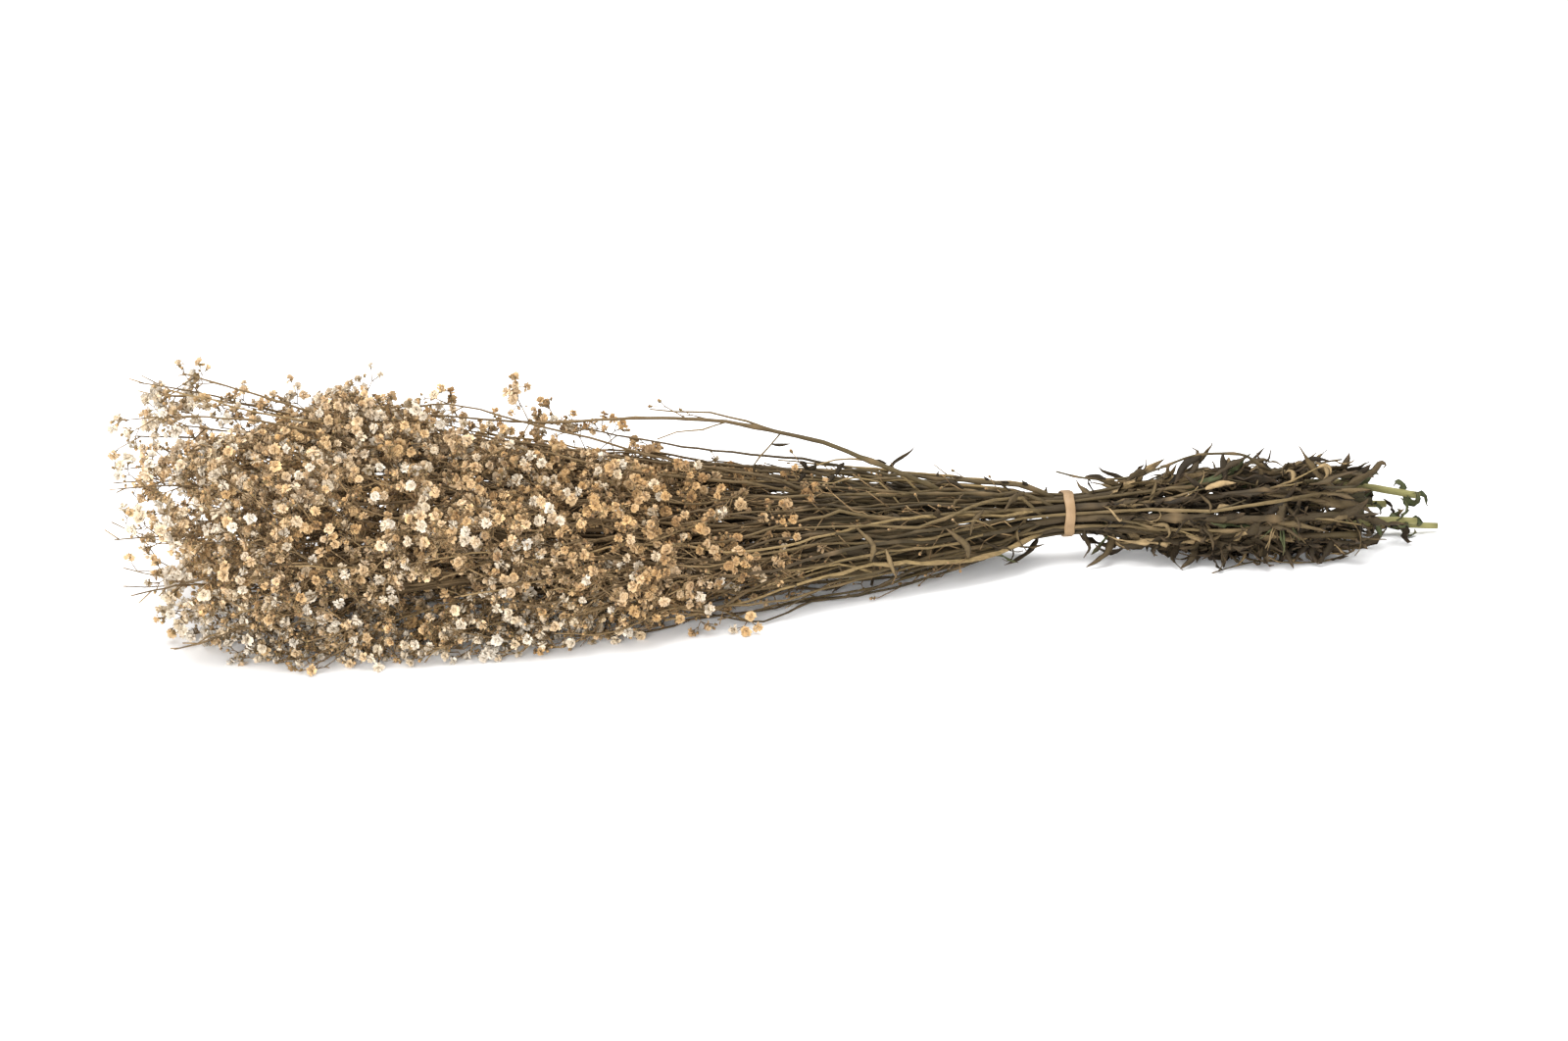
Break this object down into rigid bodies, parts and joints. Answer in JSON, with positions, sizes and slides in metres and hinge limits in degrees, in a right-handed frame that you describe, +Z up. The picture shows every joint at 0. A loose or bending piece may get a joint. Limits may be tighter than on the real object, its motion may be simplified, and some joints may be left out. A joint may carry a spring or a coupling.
{
  "type": "dried gypsophila bunch",
  "caption": "Bunch of dried gypsophila lying on its side: branching stems with curled leaves and small florets, held by a flat rubber band near the cut ends.",
  "frame": {"origin": "middle of the bunch's footprint, on the surface it lies on", "axes": "+X along the bunch towards the cut ends, flowers towards -X, +Y to the back, +Z up from the surface"},
  "size_m": [0.6524, 0.1808, 0.1175],
  "materials": {
    "dried_gypsophila": "dry and matt, straw to cream",
    "tan_rubber": "matt"
  },
  "bodies": {
    "root": {"stem_01": "dried_gypsophila", "stem_02": "dried_gypsophila", "stem_03": "dried_gypsophila", "stem_04": "dried_gypsophila", "stem_05": "dried_gypsophila", "stem_06": "dried_gypsophila", "stem_07": "dried_gypsophila", "stem_08": "dried_gypsophila", "stem_09": "dried_gypsophila", "stem_10": "dried_gypsophila", "stem_11": "dried_gypsophila", "stem_12": "dried_gypsophila", "rubber_band": "tan_rubber"}
  },
  "joints": []
}
